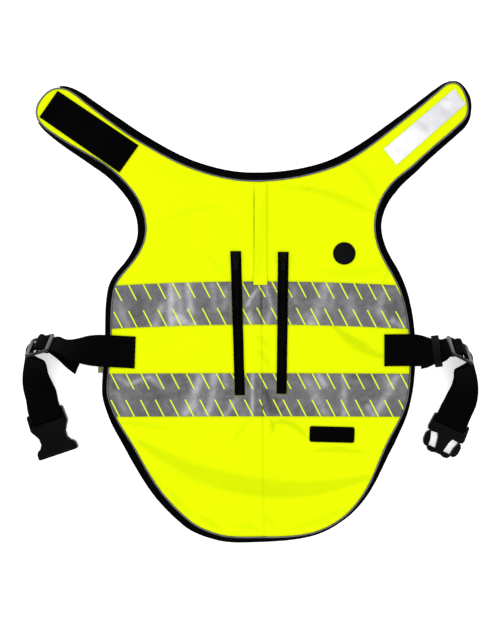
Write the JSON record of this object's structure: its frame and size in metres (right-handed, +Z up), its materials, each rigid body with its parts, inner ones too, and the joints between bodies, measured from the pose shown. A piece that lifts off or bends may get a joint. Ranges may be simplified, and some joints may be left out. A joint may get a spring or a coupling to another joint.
{
  "type": "dog safety vest",
  "caption": "High-visibility dog vest laid flat: yellow back panels with slashed reflective bands, zips, black binding, webbing straps and a side-release buckle.",
  "frame": {"origin": "on the underside of the left back panel, near the middle of the vest as it lies, at the surface it lies on", "axes": "+Z up, away from the surface; +Y towards the neck; +X towards the right of the picture"},
  "size_m": [0.539, 0.5465, 0.0478],
  "materials": {
    "hi_vis_yellow": "woven, matt",
    "binding_black": "woven tape, matt",
    "reflective_grey": "satin retroreflective tape",
    "webbing_black": "woven webbing, matt",
    "hook_black": "hook tape, matt",
    "loop_white": "brushed loop tape",
    "zip_black": "woven zip tape with a closed coil",
    "slider_black": "satin",
    "buckle_plastic": "satin",
    "badge_black": "matt"
  },
  "bodies": {
    "vest": {"adjuster_left": "buckle_plastic", "adjuster_right": "buckle_plastic", "badge": "badge_black", "band_lower_left": "reflective_grey", "band_lower_right": "reflective_grey", "band_upper_left": "reflective_grey", "band_upper_mid_left": "reflective_grey", "band_upper_mid_right": "reflective_grey", "band_upper_right": "reflective_grey", "binding_arm_left": "binding_black", "binding_arm_right": "binding_black", "binding_hem": "binding_black", "binding_neck": "binding_black", "binding_side_left": "binding_black", "binding_side_right": "binding_black", "buckle_fork": "buckle_plastic", "buckle_socket": "buckle_plastic", "hook_patch": "hook_black", "keeper_right": "buckle_plastic", "label": "badge_black", "loop_patch": "loop_white", "piping": "reflective_grey", "placket": "hi_vis_yellow", "shell_left": "hi_vis_yellow", "shell_right": "hi_vis_yellow", "side_tab": "hi_vis_yellow", "strap_left": "webbing_black", "strap_right": "webbing_black", "zip_left": "zip_black", "zip_right": "zip_black", "zip_slider_left": "slider_black", "zip_slider_right": "slider_black"},
    "left_pull": {"zip_pull_left": "slider_black"},
    "right_pull": {"zip_pull_right": "slider_black"}
  },
  "joints": [
    {"name": "left_pull_hinge", "type": "hinge", "parent": "vest", "child": "left_pull", "pos_m": [-0.01753, 0.067, 0.0084], "axis": [-1, 0, 0], "range_deg": [0, 165]},
    {"name": "right_pull_hinge", "type": "hinge", "parent": "vest", "child": "right_pull", "pos_m": [0.03843, 0.0662, 0.0084], "axis": [-1, 0, 0], "range_deg": [0, 165]}
  ]
}
